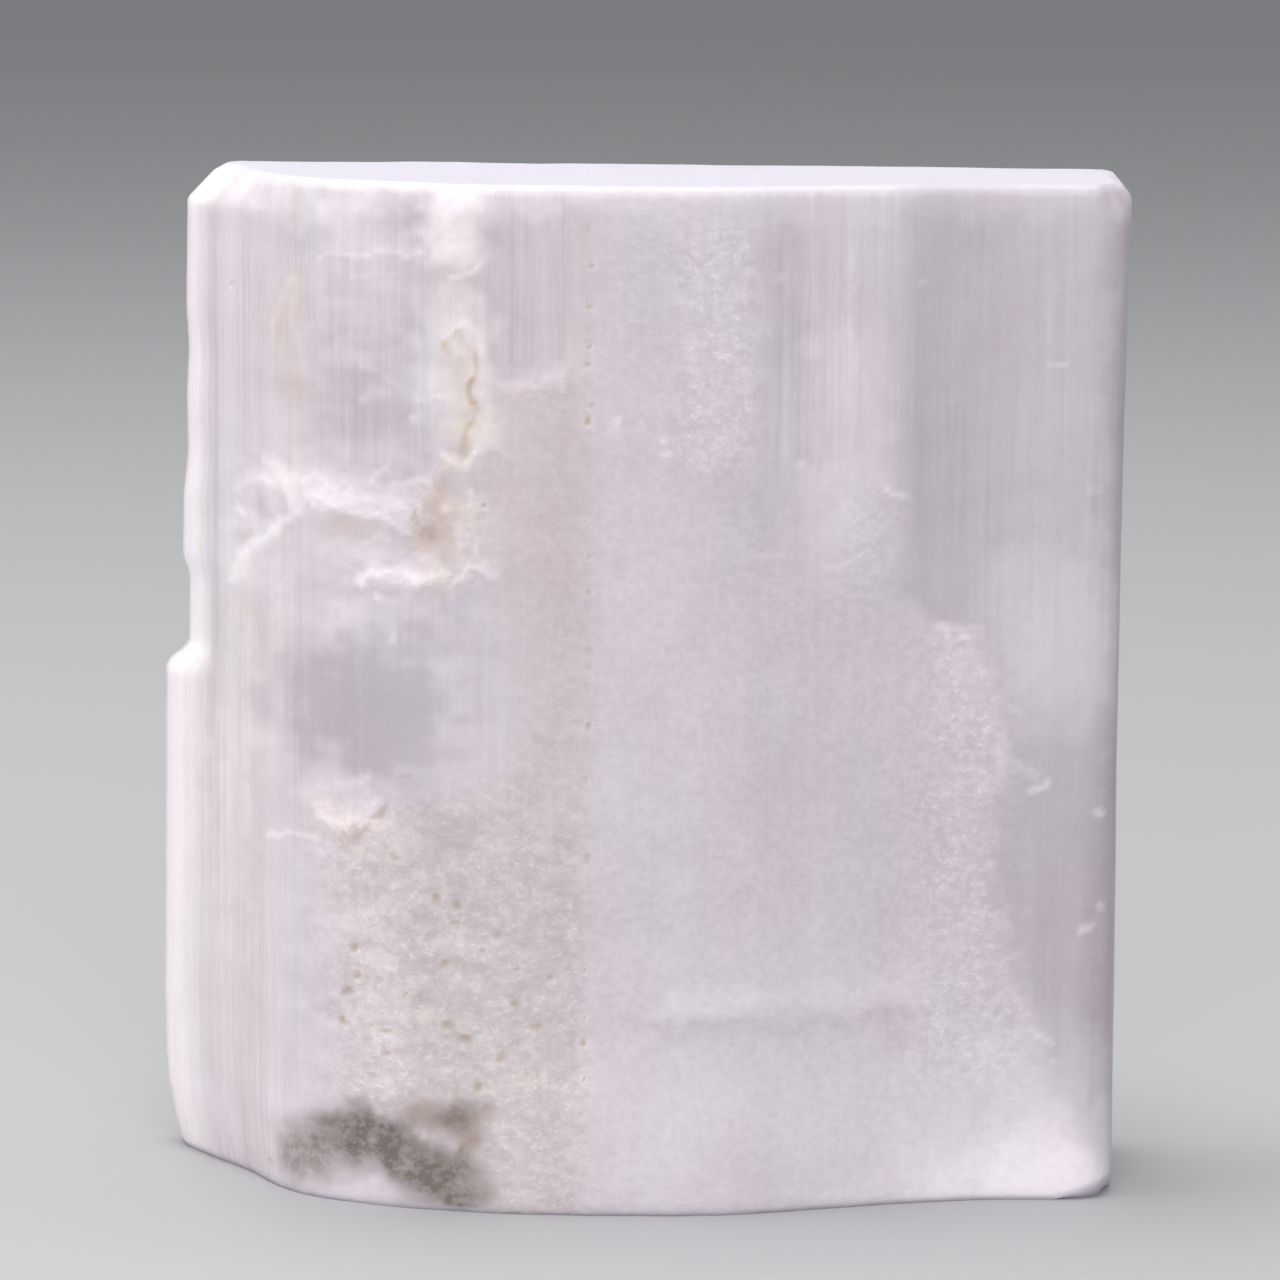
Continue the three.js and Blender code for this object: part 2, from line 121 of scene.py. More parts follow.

# Raised broken edges and wisps: half width, height, whiteness, then their points (x, z). The whiteness
# is partly the white of the broken fibres and partly painted highlight where the edges face up into
# the light.
LIPS = [
    (0.34, 0.10, 0.26, [(-19.2, 37.5), (-18.6, 37.0), (-18.1, 36.3), (-17.7, 35.4)]),
    (0.24, 0.06, 0.20, [(-20.6, 35.6), (-20.2, 36.2), (-19.3, 36.5), (-18.4, 36.2)]),
    (0.34, 0.14, 0.34, [(-17.6, 35.2), (-18.5, 34.0), (-19.2, 33.2), (-20.0, 32.5), (-21.0, 31.0)]),
    (0.34, 0.06, 0.26, [(-19.3, 33.0), (-20.4, 32.2)]),
    (0.18, 0.06, 0.20, [(-17.4, 36.8), (-16.6, 37.0), (-15.9, 36.6), (-14.6, 36.4)]),
    (0.14, 0.04, 0.26, [(-13.9, 36.9), (-13.5, 37.4), (-13.0, 37.7)]),
    (0.20, 0.06, 0.22, [(-12.6, 36.9), (-11.6, 37.0), (-10.6, 36.9)]),
    (0.16, 0.09, 0.26, [(-16.6, 35.6), (-15.0, 35.5), (-13.2, 35.2), (-12.1, 34.8), (-11.7, 34.6)]),
    (0.22, 0.05, 0.14, [(-17.0, 36.0), (-15.2, 35.9), (-13.4, 36.1), (-12.0, 35.7)]),
    (0.22, 0.12, 0.32, [(-14.2, 31.8), (-13.7, 32.3), (-12.6, 32.5), (-11.9, 32.6), (-11.3, 32.2)]),
    (0.22, 0.12, 0.34, [(-11.2, 32.2), (-10.5, 32.4), (-10.0, 32.5)]),
    (0.20, 0.10, 0.28, [(-9.7, 31.9), (-9.1, 32.2), (-8.7, 32.7), (-7.8, 32.9), (-7.3, 32.6)]),
    (0.12, 0.04, 0.16, [(-14.0, 33.9), (-13.2, 34.3), (-12.7, 34.0)]),
    (0.18, 0.06, 0.16, [(-9.0, 35.6), (-9.0, 34.2), (-9.3, 33.0)]),
    (0.14, 0.05, 0.14, [(-8.4, 36.4), (-8.5, 35.0), (-8.3, 33.6)]),
    (0.20, 0.05, 0.18, [(-10.0, 35.7), (-9.6, 35.5)]),
    (0.24, 0.12, 0.40, [(-10.0, 38.6), (-9.5, 38.3), (-9.0, 38.1), (-8.6, 38.3), (-8.2, 38.8)]),
    (0.14, 0.05, 0.30, [(-8.65, 43.1), (-8.6, 42.5)]),
    (0.15, 0.05, 0.12, [(-10.0, 44.2), (-9.4, 44.9), (-9.0, 45.1), (-8.4, 44.6), (-8.0, 43.9)]),
    (0.50, 0.04, 0.12, [(-7.9, 43.5), (-7.7, 41.0), (-7.6, 39.4)]),
    (0.12, 0.03, 0.20, [(-11.5, 41.2), (-10.6, 41.35), (-9.7, 41.2)]),
    (0.20, 0.04, 0.16, [(-8.1, 38.6), (-7.4, 39.0), (-6.9, 38.6)]),
    (0.10, 0.03, 0.28, [(-17.0, 48.3), (-15.6, 48.35), (-14.2, 48.4), (-11.2, 48.55)]),
    (0.30, 0.03, 0.10, [(-16.0, 48.7), (-13.0, 48.8)]),
    (0.12, 0.02, 0.14, [(-14.7, 47.3), (-13.6, 47.4), (-12.6, 47.3)]),
    (0.16, 0.08, 0.32, [(-9.7, 47.5), (-9.0, 47.6), (-8.4, 47.8), (-8.1, 48.2)]),
    (0.22, 0.05, 0.14, [(-17.9, 46.7), (-18.2, 46.0), (-18.6, 44.8), (-18.9, 43.6)]),
    (0.22, 0.05, 0.10, [(-17.7, 46.4), (-17.8, 45.0), (-17.6, 43.4), (-17.5, 42.0)]),
    (0.14, 0.03, 0.14, [(-14.3, 42.8), (-13.6, 42.6), (-12.4, 41.8)]),
    (0.10, 0.02, 0.16, [(-15.5, 44.2), (-14.9, 44.2)]),
    (0.24, 0.10, 0.30, [(-16.3, 19.9), (-15.2, 19.7), (-14.5, 19.5)]),
    (0.12, 0.04, 0.28, [(-19.0, 18.4), (-17.6, 18.5), (-16.3, 18.65)]),
    (0.20, 0.06, 0.20, [(-15.3, 21.4), (-14.4, 21.5), (-13.7, 21.9)]),
    (0.20, 0.05, 0.18, [(-16.6, 20.4), (-15.9, 20.6)]),
    (0.40, 0.03, 0.14, [(-16.4, 28.2), (-15.8, 29.3), (-15.2, 29.8)]),
    (0.16, 0.03, 0.16, [(-16.2, 26.0), (-15.4, 25.9)]),
    (0.26, 0.05, 0.16, [(-7.4, 42.1), (-6.1, 41.9), (-4.8, 42.4), (-4.0, 42.5)]),
    (0.12, 0.03, 0.08, [(10.3, 46.5), (10.9, 43.0), (11.7, 40.4), (11.8, 38.0), (12.1, 36.9)]),
    (0.14, 0.05, 0.32, [(12.1, 36.8), (12.6, 36.5), (13.1, 36.4)]),
    (0.12, 0.02, 0.18, [(5.7, 33.5), (7.6, 33.55)]),
    (0.22, 0.02, 0.14, [(9.6, 32.8), (10.6, 33.1), (11.5, 33.4)]),
    (0.10, 0.02, 0.34, [(20.4, 43.05), (21.7, 43.1)]),
    (0.12, 0.02, 0.14, [(20.5, 44.2), (20.6, 47.9)]),
    (0.12, 0.02, 0.20, [(22.8, 36.6), (23.4, 36.7)]),
    (0.10, 0.01, 0.14, [(10.4, 44.5), (10.45, 48.8)]),
    (0.12, 0.02, 0.18, [(6.6, 47.7), (7.3, 47.5)]),
    (0.12, 0.02, 0.16, [(-0.9, 45.1), (0.3, 45.3)]),
    (0.16, 0.02, 0.12, [(2.6, 48.6), (3.8, 48.5)]),
    (0.16, 0.05, 0.20, [(14.9, 29.0), (15.2, 29.5), (15.9, 28.8)]),
    (0.14, 0.03, 0.14, [(16.6, 28.0), (17.4, 27.4), (17.9, 26.6)]),
    (0.14, 0.04, 0.20, [(18.0, 25.9), (18.6, 25.5), (19.3, 25.1)]),
    (0.22, 0.03, 0.16, [(18.4, 24.4), (18.5, 23.2), (18.4, 21.8)]),
    (0.12, 0.04, 0.24, [(18.8, 22.8), (19.7, 22.4), (20.2, 21.9)]),
    (0.18, 0.06, 0.50, [(20.2, 21.3), (20.5, 21.3), (20.8, 21.6)]),
    (0.22, 0.06, 0.60, [(23.4, 20.0), (23.9, 20.0)]),
    (0.22, 0.06, 0.60, [(23.7, 15.3), (23.9, 15.2)]),
    (0.22, 0.06, 0.50, [(22.8, 14.1), (23.3, 14.3)]),
    (0.16, 0.04, 0.20, [(17.9, 15.0), (18.6, 14.6), (19.0, 13.7)]),
    (0.14, 0.03, 0.20, [(18.8, 12.6), (19.4, 12.5)]),
    (0.14, 0.03, 0.18, [(19.4, 10.4), (20.0, 9.8)]),
    (0.16, 0.05, 0.34, [(20.3, 8.7), (20.8, 8.6), (21.4, 8.3)]),
    (0.14, 0.04, 0.20, [(21.2, 7.4), (21.6, 7.1)]),
]

# Small loose flakes (x, z), each about as wide as it is high
FLAKES = [
    (-13.2, 31.2), (-14.0, 31.7), (-12.5, 29.1), (-13.4, 26.6), (-20.5, 34.5), (-8.5, 36.7),
    (-9.9, 35.6), (-10.9, 3.75), (17.8, 17.6), (-11.6, 40.2), (-14.2, 40.9), (7.9, 38.0),
    (1.0, 39.4), (1.1, 38.7), (4.0, 43.6), (-1.3, 40.2), (16.2, 29.0), (13.9, 47.0),
]
FLAKE = {"half": 0.2, "height": 0.06, "milk_and_light": 0.32}

# Pits in the stained skin (x, z, half width), and a dotted row of smaller ones along the ridge
PITS = [
    (-10.1, 16.2, 0.28), (-9.0, 15.8, 0.28), (-9.2, 14.8, 0.22), (-7.9, 13.3, 0.2),
    (-6.9, 14.3, 0.2), (-8.8, 12.5, 0.24), (-9.9, 12.7, 0.22), (-6.1, 12.6, 0.2),
    (-6.2, 10.9, 0.28), (-5.2, 9.7, 0.24), (-9.4, 9.5, 0.3), (-8.8, 8.9, 0.32),
    (-6.8, 8.1, 0.24), (-14.9, 9.4, 0.24), (-13.4, 9.3, 0.18), (-12.7, 9.2, 0.22),
    (-12.6, 7.9, 0.2), (-14.4, 11.7, 0.3), (-14.7, 10.7, 0.3), (-14.4, 13.2, 0.24),
    (-8.1, 6.4, 0.26), (-20.95, 46.4, 0.12), (-7.9, 35.9, 0.18), (-12.4, 18.2, 0.2),
    (-5.6, 7.2, 0.18), (-10.8, 14.1, 0.16), (-11.7, 11.0, 0.16), (-4.4, 12.2, 0.18),
]
# Inside the pits the skin is also painted darker and rustier
PIT = {"depth": 0.18, "dark": 0.34, "rust": 0.4}
RIDGE_X = -2.5
RIDGE_PIT = {"x": -2.65, "spread": 0.14, "pitch": 0.95, "half": 0.19}

# The rind ends upward-curled over a smoother foot on the right half of the front
FOLD = {"z": 10.0, "left": 1.0, "right": 15.4, "depth": 0.12, "curl": 0.08}

# Lumps stand out and hollows sink in: x, z, half width, half height and height in mm
LUMPS = [
    (-9.2, 49.6, 1.9, 2.6, 0.25),
    (-18.1, 43.8, 0.9, 3.2, 0.14),
    (-15.4, 19.4, 1.3, 0.9, 0.14),
    (17.6, 25.6, 1.2, 2.0, 0.12),
    (20.6, 8.6, 1.2, 1.6, 0.12),
    (-8.7, 41.0, 1.3, 3.8, -0.08),
    (-19.4, 34.9, 1.3, 1.1, -0.12),
    (-10.8, 34.4, 1.3, 1.7, -0.28),
    (-15.0, 34.2, 2.2, 1.1, -0.12),
    (-13.1, 20.4, 0.7, 0.9, -0.25),
    (-13.2, 2.9, 5.0, 2.4, -0.3),
    (-8.6, 4.2, 1.0, 1.3, -0.2),
]

# Whiteness of the skin, added to the plain skin's, with some boxes of painted light and shade: left,
# right, foot, top, softness, amount
PLAIN_MILK = 0.26
# Painted rim light: the front is painted whiter towards the rounded left corner, where light from the
# left catches it
LEFT_RIM_LIGHT = {"from": -22.4, "to": -24.6, "milk_and_light": 0.66}
MILK_AND_LIGHT = [
    (-20.8, -18.0, 33.4, 36.2, 0.8, 0.14),
    (-30, -18.4, 34, 60, 2.0, 0.17),
    (-30, -18.8, 18, 34, 2.0, 0.23),
    (-30, -16.4, -5, 18, 1.6, 0.15),
    (-22.3, -21.6, 18, 30, 0.4, -0.12),
    (-20.8, -19.8, 8, 30, 0.4, 0.08),
    # Painted glow along the top edge, as from light let in through the top face, over a crumbly white
    # crust on the left
    (-30, -2.0, 50.7, 60, 0.6, 0.22),
    (-18.5, -14.2, 49.6, 51.4, 0.7, 0.14),
    (-13.8, -10.7, 49.0, 51.6, 0.6, -0.16),
    # Painted glow along the top edge, as from light let in through the top face (this box and the
    # next)
    (-2.0, 13.0, 50.2, 60, 0.5, 0.10),
    (13.0, 30, 50.4, 60, 0.7, 0.12),
    (-18.4, -10.8, 37.4, 49.8, 1.4, -0.02),
    (-16.5, -13.0, 38.6, 43.5, 1.6, -0.10),
    (-11.2, -9.9, 41.0, 46.0, 0.5, -0.06),
    (-10.5, -8.0, 47.8, 51.8, 1.0, 0.48),
    (-11.0, -7.8, 38.5, 47.0, 1.2, 0.30),
    (-8.4, -6.4, 41.0, 48.0, 0.8, -0.05),
    (-20.6, -10.4, 35.2, 37.4, 0.9, 0.16),
    (-21.0, -18.6, 30.5, 33.5, 1.0, 0.18),
    (-18.0, -12.2, 32.8, 34.8, 1.0, 0.12),
    (-16.8, -13.0, 28.4, 31.0, 1.6, 0.14),
    (-11.6, -8.0, 32.6, 36.4, 0.8, 0.02),
    (-17.6, -11.0, 23.2, 28.4, 2.6, -0.34),
    (-15.0, -11.0, 23.8, 27.0, 1.8, -0.34),
    (-18.2, -14.8, 5.0, 17.0, 1.4, -0.02),
    (-17.0, -13.6, 18.6, 21.6, 1.0, 0.18),
    (-12.0, -2.5, -5, 52, 2.0, -0.13),
    (-2.0, 18.0, 14.0, 40.0, 4.0, -0.04),
    (-8.0, 30, -20, 8.6, 2.4, 0.14),
    # Painted highlight where the fold curls up into the light
    (1.0, 16.0, 10.1, 11.4, 0.5, 0.12),
    (-2.0, 14.0, 10.5, 14.0, 1.5, 0.05),
    # Painted shadow under the curl of the fold
    (1.0, 14.0, 8.8, 9.9, 0.4, -0.07),
    # Painted glow along the right part of the foot (this box and the next)
    (11.0, 40, -20, 2.0, 4.0, 0.26),
    (16.0, 40, -20, 2.2, 5.0, 0.66),
    # Painted shade down the rounded right edge
    (23.6, 30, 5.0, 50.0, 0.5, -0.12),
    (8.6, 11.8, 33.4, 45.0, 1.6, 0.18),
    (6.1, 8.2, 42.5, 50.0, 1.0, -0.08),
    (2.0, 5.9, 38.0, 50.0, 0.9, 0.12),
    (-1.6, 8.0, 36.0, 50.0, 2.0, -0.07),
    (12.2, 30, 34.0, 49.5, 1.6, -0.03),
    # Painted glow on the right, between heights 25.5 and 33
    (17.5, 30, 25.5, 33.0, 2.4, 0.20),
    (18.6, 30, 8.5, 23.6, 2.4, -0.17),
]

# Crumbly zones: left, right, foot, top, softness, amount
CRUMBLY = [
    (-20.6, -10.2, 35.0, 37.6, 0.6, 0.7),
    (-21.2, -17.6, 30.8, 35.0, 0.7, 0.6),
    (-15.0, -7.6, 31.2, 33.1, 0.5, 0.8),
    (-12.0, -7.9, 33.0, 36.5, 0.6, 0.7),
    (-17.0, -13.0, 17.6, 21.6, 0.6, 0.6),
    (-10.8, -7.8, 47.2, 52.0, 0.8, 0.8),
    (-30.0, -10.6, 50.2, 52.0, 0.5, 0.35),
    (-7.6, -3.4, 41.5, 43.0, 0.4, 0.5),
    (-10.4, -7.8, 38.0, 45.2, 0.5, 0.4),
    (2.0, 6.0, 38.0, 50.0, 1.0, 0.7),
    (14.0, 19.5, 6.0, 29.5, 1.8, 0.6),
    (6.0, 13.0, 31.0, 38.0, 2.0, 0.3),
]

# Zones where the bare fibres show: left, right, foot, top, softness, amount
FIBROUS = [
    (6.6, 12.5, 38.0, 52.5, 2.2, 0.5),
    (-18.0, -10.5, 38.0, 50.0, 1.5, 0.3),
    (-10.0, -3.0, 43.0, 52.0, 1.2, 0.3),
]

# Semi-clear windows of the left half: left, right, foot, top, softness, amount
WINDOWS = [
    (-17.2, -11.0, 22.0, 28.5, 2.2, 0.7),
    (-16.5, -11.0, 38.5, 46.0, 2.0, 0.3),
]

# Iron stain: left, right, foot, top, softness, amount
WARMTH = [
    (-9.8, -7.8, 38.4, 45.0, 1.2, 1.0),
    (-10.6, -7.8, 46.0, 50.5, 0.8, 0.5),
    (-11.6, -8.2, 32.0, 36.4, 0.6, 0.9),
    (-18.9, -17.3, 41.0, 47.0, 0.4, 0.8),
    (-16.4, -13.6, 34.0, 35.0, 0.5, 0.8),
    (-20.8, -19.4, 29.2, 32.2, 0.5, 0.7),
    (-17.0, -14.2, 18.6, 20.6, 0.6, 0.7),
    (-23.0, -18.5, 5.0, 30.0, 1.0, 0.25),
]

# Rust, and dark marks of dirt and painted shade: half width, rust, dirt and painted shade, then the
# points (x, z) that the mark runs through
STAINS = [
    (0.24, 0.75, 0.16, [(-8.45, 42.1), (-8.6, 41.2)]),
    (0.45, 0.30, 0.0, [(-8.6, 41.2), (-9.0, 40.2)]),
    (0.90, 0.16, 0.0, [(-8.9, 43.0), (-8.9, 39.0)]),
    (1.00, 0.34, 0.0, [(-9.2, 38.6), (-9.9, 36.6), (-10.6, 34.4)]),
    (0.28, 0.70, 0.14, [(-8.65, 40.0), (-8.65, 39.3), (-8.8, 38.8)]),
    (0.16, 0.35, 0.06, [(-8.4, 43.5), (-8.5, 42.1), (-8.7, 40.6), (-9.0, 38.6), (-9.8, 36.8)]),
    (0.22, 0.50, 0.06, [(-9.9, 44.0), (-9.3, 44.6), (-8.9, 44.6), (-8.5, 44.0), (-8.4, 43.5)]),
    (0.40, 0.26, 0.05, [(-9.2, 44.4), (-8.9, 44.2)]),
    (0.12, 0.20, 0.10, [(-10.1, 38.2), (-10.1, 36.6)]),
    # The dark of this mark and the next two is painted shade of the crevice under the broken ledge;
    # their rust is a tan stain
    (0.15, 0.35, 0.30, [(-11.6, 35.5), (-11.3, 35.1)]),
    (0.26, 0.35, 0.20, [(-10.6, 34.9), (-10.4, 34.4)]),
    (0.12, 0.25, 0.18, [(-10.9, 34.9), (-10.9, 34.2)]),
    (0.30, 0.20, 0.12, [(-11.0, 31.6), (-9.9, 31.7)]),
    # The dark of this mark and the next two is painted shade under the broken ledges, over a little
    # tan stain
    (0.45, 0.14, 0.04, [(-15.9, 34.8), (-14.6, 34.6), (-13.9, 34.4)]),
    (0.45, 0.12, 0.08, [(-19.4, 35.3), (-19.2, 34.6)]),
    (0.30, 0.05, 0.10, [(-20.6, 33.6), (-20.2, 33.5)]),
    (0.17, 0.40, 0.34, [(-12.8, 20.8), (-13.2, 20.4), (-13.4, 20.0)]),
    (0.14, 0.30, 0.24, [(-13.8, 19.4), (-14.2, 18.9), (-14.5, 18.6)]),
    (0.14, 0.25, 0.18, [(-15.3, 18.6), (-14.9, 18.4)]),
    (0.10, 0.05, 0.20, [(-11.7, 22.1), (-11.0, 22.2)]),
    (0.22, 0.15, 0.14, [(-14.6, 12.3), (-14.5, 10.2)]),
    # The dark marks from here through the one down x -7.8 lie over the foot's left half: partly brown
    # stain, partly painted shade of the recess under the overhanging rind
    (1.60, 0.12, 0.60, [(-17.0, 2.3), (-15.2, 3.0), (-13.0, 3.2), (-11.0, 2.6), (-9.2, 1.6)]),
    (0.90, 0.12, 0.40, [(-14.9, 3.4), (-13.6, 3.8), (-12.6, 3.0)]),
    (0.45, 0.45, 0.22, [(-17.5, 2.6), (-16.8, 3.0)]),
    (0.60, 0.26, 0.30, [(-16.8, 3.4), (-15.2, 4.1), (-13.4, 4.7)]),
    (0.36, 0.15, 0.25, [(-15.4, 3.3), (-14.3, 3.4)]),
    (0.28, 0.20, 0.25, [(-14.4, 4.9), (-14.1, 4.8)]),
    (0.90, 0.16, 0.52, [(-12.3, 2.7), (-10.8, 2.3), (-10.0, 1.7)]),
    (0.65, 0.20, 0.52, [(-11.3, 1.5), (-10.0, 1.0), (-8.8, 0.4)]),
    (0.60, 0.46, 0.34, [(-11.0, 4.8), (-9.9, 4.9), (-8.8, 5.0)]),
    (0.80, 0.50, 0.38, [(-9.2, 4.7), (-8.4, 4.5), (-8.4, 3.8)]),
    (0.50, 0.30, 0.22, [(-8.8, 3.2), (-9.0, 2.3)]),
    (0.30, 0.20, 0.16, [(-7.9, 5.2), (-7.5, 5.6)]),
    (0.25, 0.20, 0.15, [(-9.3, 5.9), (-8.9, 6.3)]),
    (0.80, 0.06, 0.14, [(-7.8, 3.4), (-7.6, 1.0)]),
    (0.15, 0.10, 0.25, [(-19.05, 1.3), (-18.9, 1.2)]),
]

# Pale flakes lying in the stain: half width, then their points (x, z)
PALE = [
    (0.40, [(-10.8, 3.8), (-10.0, 3.7), (-9.4, 3.5)]),
    (0.30, [(-13.2, 1.2), (-12.4, 0.9)]),
]

# Fibres: flutes and threads run the height, deeper on the back, where splinters lie side by side
FLUTE = {"pitch": 1.9, "length": 34, "front": 0.05, "back": 0.2}
THREAD = {"pitch": 0.55, "length": 14, "front": 0.02, "back": 0.05}
SPLINTER = {"width": 4.6, "waver": 0.3, "depth": 0.9, "edge": 0.16, "ragged": 1.6}
SWELL = {"across": 11, "along": 26, "height": 0.12}
GRAIN = {"size": 1.4, "height": 0.04}

# Noise in layers: each layer's size across and along in mm, its seed and its amount
CRUMBS = [(0.9, 0.5, 63, 0.07), (0.45, 0.36, 64, 0.05)]
BANDS = [(1.0, 45, 91, 1.0), (0.45, 30, 92, 0.5)]
CLOUDS = [(3.1, 4.4, 85, 1.0), (1.3, 1.9, 86, 0.5)]
VEILS = [(2.2, 0.9, 87, 1.0), (0.9, 0.45, 88, 0.6)]
GRIT = [(0.8, 0.5, 66, 1.0), (0.42, 0.35, 67, 0.6)]

# Colours of the skin from its greyest to its whitest, of the tints that multiply it and of what
# covers it
GREY = (0.54, 0.476, 0.522, 1.0)
WHITE = (0.97, 0.90, 0.933, 1.0)
ROSY = (1.0, 0.985, 0.995, 1.0)
GLAUCOUS = (0.98, 1.0, 1.0, 1.0)
WARM = (1.0, 0.975, 0.90, 1.0)
COOL = (0.985, 1.0, 1.01, 1.0)
RUST = (0.60, 0.41, 0.24, 1.0)
# Dark of dirt, and of the painted shade in crevices and recesses
DIRT_AND_SHADE = (0.17, 0.142, 0.125, 1.0)
SAWN = (0.70, 0.67, 0.755, 1.0)

# Surface of the skin: roughness, light let through the clear parts, and scattering in mm
ROUGHNESS = {"milky": 0.62, "clear": 0.46}
TRANSMISSION = 0.16
IOR = 1.52
SCATTER = {"radius": (1.0, 0.92, 0.96), "scale": 1.2}
BUMP = {"threads": 0.15, "flecks": 0.16, "strength": 0.8}

# The floor is a large pale disc, in metres
FLOOR = {"radius": 4.0, "sides": 96, "colour": (0.5, 0.5, 0.51, 1.0), "roughness": 0.7}

# The photograph's camera, in mm and degrees: a long lens close to the front, tilted down and rolled
IMAGE_SIDE = 1280
FOCAL_PIXELS = 6600
SENSOR = 36
CAMERA_AT = (0.02, -336.70, 72.98)
CAMERA_DOWN = 7.5946
CAMERA_ROLL = 0.544

# Studio lights: place and side length in metres, and power in watts
LIGHTS = {
    "key": ((-0.06, 0.04, 0.62), 0.5, 3.1),
    "fill": ((0.0, -0.75, 0.30), 0.6, 3.4),
    "side": ((-0.60, -0.05, 0.25), 0.4, 1.0),
}
SKY = {"colour": (0.95, 0.97, 1.0, 1.0), "strength": 0.35}


def ramp(low, high, v):
    """0 at low to 1 at high, smoothly."""
    t = np.clip((v - low) / (high - low), 0, 1)
    return t * t * (3 - 2 * t)


def hashed(i, j, seed):
    v = np.sin(i * 127.1 + j * 311.7 + seed * 74.7) * 43758.5453
    return 2 * (v - np.floor(v)) - 1


def noise(u, v, seed):
    """Smooth value noise between -1 and 1."""
    i, j = np.floor(u), np.floor(v)
    a, b = ramp(0, 1, u - i), ramp(0, 1, v - j)
    low = hashed(i, j, seed) * (1 - a) + hashed(i + 1, j, seed) * a
    high = hashed(i, j + 1, seed) * (1 - a) + hashed(i + 1, j + 1, seed) * a
    return low * (1 - b) + high * b


def layered(u, v, layers):
    """The layers of one kind of noise added up."""
    return sum(amount * noise(u / across, v / along, seed) for across, along, seed, amount in layers)


def bend(x, z, by, seed):
    """Places moved about by roughly that many mm, which makes what is drawn on them ragged."""
    bent_x = x + by * (noise(x / 1.2, z / 1.1, seed) + 0.5 * noise(x / 0.45, z / 0.4, seed + 1))
    bent_z = z + by * (noise(x / 1.1, z / 1.2, seed + 2) + 0.5 * noise(x / 0.4, z / 0.45, seed + 3))
    return bent_x, bent_z


def read(table, at):
    """Straight-line reading of (at, value) pairs, or the plain number itself."""
    if isinstance(table, (int, float)):
        return table
    return np.interp(at, [a for a, _ in table], [value for _, value in table])


CORNERS = np.array(PLAN + PLAN[:1])
REACH = np.concatenate([[0], np.cumsum(np.hypot(*np.diff(CORNERS, axis=0).T))])
PERIMETER = REACH[-1]


def sharp_plan(distance):
    s = np.mod(distance, PERIMETER)
    return np.stack([np.interp(s, REACH, CORNERS[:, k]) for k in (0, 1)], -1)


def round_plan(distance):
    """The plan with its corners rounded by averaging along the path."""
    offsets = [-1, -0.5, 0, 0.5, 1]
    return sum(sharp_plan(distance + offset * PLAN_ROUNDING) for offset in offsets) / 5


def outward(distance):
    along = round_plan(distance + 0.8) - round_plan(distance - 0.8)
    along /= np.linalg.norm(along, axis=-1, keepdims=True)
    return np.stack([along[..., 1], -along[..., 0]], -1)


def scars(x, z):
    """Relief of the lost layers and how much of them is open at each place."""
    sunk, clear = 0, 0
    frayed = 0.55 * noise(x / 0.5, z / 0.6, 51)
    for index, scar in enumerate(SCARS):
        foot_half, side_half = scar["half"]
        shake = scar["ragged"] * (noise(x / 1.1, z / 1.1, index + 3) + frayed)
        waver = 0.5 * shake
        inside = ramp(-foot_half, foot_half, z + shake - read(scar["foot"], x))
        inside = inside * ramp(-side_half, side_half, x + waver - read(scar["left"], z))
        inside = inside * ramp(-side_half, side_half, read(scar["right"], z) - x - waver)
        sunk = sunk + scar["depth"] * inside
        clear = np.maximum(clear, inside)
    return -sunk, clear


def line_distance(x, z, points):
    nearest = np.inf
    for (from_x, from_z), (to_x, to_z) in zip(points, points[1:]):
        run_x, run_z = to_x - from_x, to_z - from_z
        t = ((x - from_x) * run_x + (z - from_z) * run_z) / (run_x**2 + run_z**2)
        t = np.clip(t, 0, 1)
        nearest = np.minimum(nearest, np.hypot(x - from_x - t * run_x, z - from_z - t * run_z))
    return nearest


def lips(x, z):
    """Relief and whiteness of the raised broken edges, the wisps and the loose flakes; the whiteness
    of the edges is partly painted highlight.
    """
    raised, white = 0, 0
    x, z = bend(x, z, 0.22, 53)
    for half, height, milk_and_light, points in LIPS:
        near = ramp(1.7, 0.0, line_distance(x, z, points) / half)
        raised = raised + height * near
        white = np.maximum(white, milk_and_light * near)
    for at_x, at_z in FLAKES:
        near = ramp(1.7, 0.2, np.hypot(x - at_x, z - at_z) / FLAKE["half"])
        raised = raised + FLAKE["height"] * near
        white = np.maximum(white, FLAKE["milk_and_light"] * near)
    return raised, white


def lumps(x, z):
    total = 0
    for at_x, at_z, half_x, half_z, height in LUMPS:
        away = np.hypot((x - at_x) / half_x, (z - at_z) / half_z)
        total = total + height * ramp(1.25, 0.35, away)
    return total


def pits(x, z):
    """How deep in a pit each place is, 0 to 1."""
    i = np.floor(z / RIDGE_PIT["pitch"])
    at_x = RIDGE_PIT["x"] + RIDGE_PIT["spread"] * hashed(i, 1, 94)
    at_z = (i + 0.5 + 0.25 * hashed(i, 0, 93)) * RIDGE_PIT["pitch"]
    half = RIDGE_PIT["half"] * (0.65 + 0.35 * hashed(i, 2, 95))
    deepest = ramp(-0.8, 0.5, hashed(i, 3, 96)) * ramp(1.5, 0.4, np.hypot(x - at_x, z - at_z) / half)
    x, z = bend(x, z, 0.22, 101)
    for at_x, at_z, half in PITS:
        deepest = np.maximum(deepest, ramp(1.25, 0.2, np.hypot(0.8 * (x - at_x), z - at_z) / half))
    return deepest


